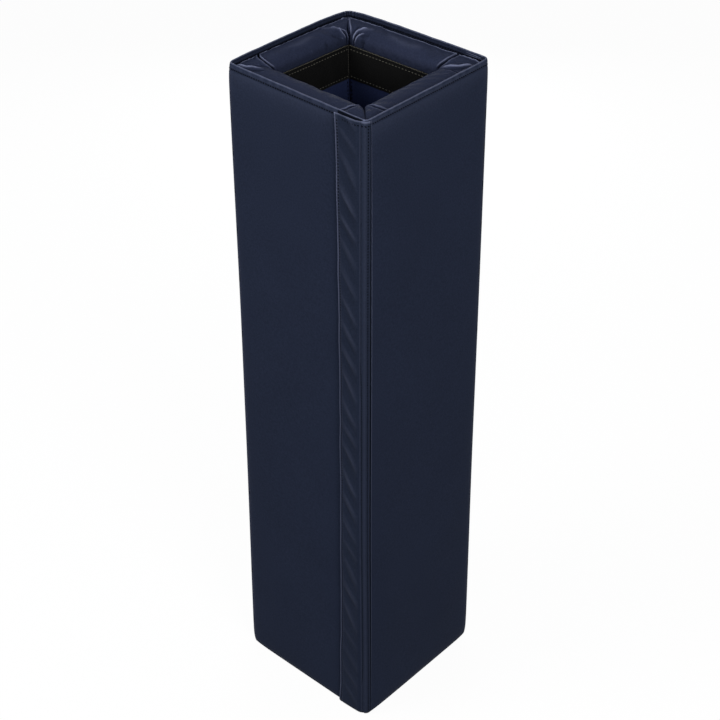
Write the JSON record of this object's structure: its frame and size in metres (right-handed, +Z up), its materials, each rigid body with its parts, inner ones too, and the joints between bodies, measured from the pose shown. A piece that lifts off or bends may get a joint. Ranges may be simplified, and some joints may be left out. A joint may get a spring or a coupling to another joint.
{
  "type": "column pad",
  "caption": "Tall square padded wrap for a column: hinged foam panels in navy coated cloth, closed at one corner by a full-height hook-and-loop flap.",
  "frame": {"origin": "centre of the column opening on the floor", "axes": "+Z up along the column, -Y out of the front panel, which carries the closure flap beside the right (+X) panel"},
  "size_m": [0.2573, 0.2614, 1.067],
  "materials": {
    "navy_vinyl": "satin coated cloth",
    "top_vinyl": "satin coated cloth",
    "flap_vinyl": "satin coated cloth",
    "liner_vinyl": "matt coated cloth",
    "foam": "open-cell foam",
    "loop_pile": "brushed loop pile",
    "hook_tape": "woven hook tape"
  },
  "bodies": {
    "back_panel": {"back_foam_core": "foam", "back_outer_cover": "navy_vinyl", "back_inner_liner": "liner_vinyl", "back_top_end": "top_vinyl", "back_rim_hem": "navy_vinyl", "back_bottom_end": "navy_vinyl", "back_loop_band": "loop_pile", "hinge_welt_back_left": "navy_vinyl", "hinge_welt_back_right": "navy_vinyl"},
    "left_panel": {"left_foam_core": "foam", "left_outer_cover": "navy_vinyl", "left_inner_liner": "liner_vinyl", "left_top_end": "top_vinyl", "left_rim_hem": "navy_vinyl", "left_bottom_end": "navy_vinyl", "left_loop_band": "loop_pile", "hinge_welt_front_left": "navy_vinyl"},
    "front_panel": {"front_foam_core": "foam", "front_outer_cover": "navy_vinyl", "front_inner_liner": "liner_vinyl", "front_top_end": "top_vinyl", "front_rim_hem": "navy_vinyl", "front_bottom_end": "navy_vinyl", "front_loop_band": "loop_pile", "front_loop_tape": "loop_pile"},
    "right_panel": {"right_foam_core": "foam", "right_outer_cover": "navy_vinyl", "right_inner_liner": "liner_vinyl", "right_top_end": "top_vinyl", "right_rim_hem": "navy_vinyl", "right_bottom_end": "navy_vinyl", "right_loop_band": "loop_pile", "closure_corner_welt": "navy_vinyl", "flap_root_band": "flap_vinyl"},
    "flap": {"closure_flap": "flap_vinyl", "flap_hook_tape": "hook_tape"}
  },
  "joints": [
    {"name": "right_panel_hinge", "type": "hinge", "parent": "back_panel", "child": "right_panel", "pos_m": [0.1205, 0.1205, 0], "axis": [0, 0, 1], "range_deg": [0, 90]},
    {"name": "left_panel_hinge", "type": "hinge", "parent": "back_panel", "child": "left_panel", "pos_m": [-0.1205, 0.1205, 0], "axis": [0, 0, -1], "range_deg": [0, 90], "deforming": ["closure_flap", "flap_hook_tape"]},
    {"name": "front_panel_hinge", "type": "hinge", "parent": "left_panel", "child": "front_panel", "pos_m": [-0.1205, -0.1205, 0], "axis": [0, 0, -1], "range_deg": [0, 90], "deforming": ["closure_flap", "flap_hook_tape"]},
    {"name": "flap_peel", "type": "hinge", "parent": "right_panel", "child": "flap", "pos_m": [0.119, -0.1295, 0], "axis": [0, 0, 1], "range_deg": [0, 150]}
  ]
}
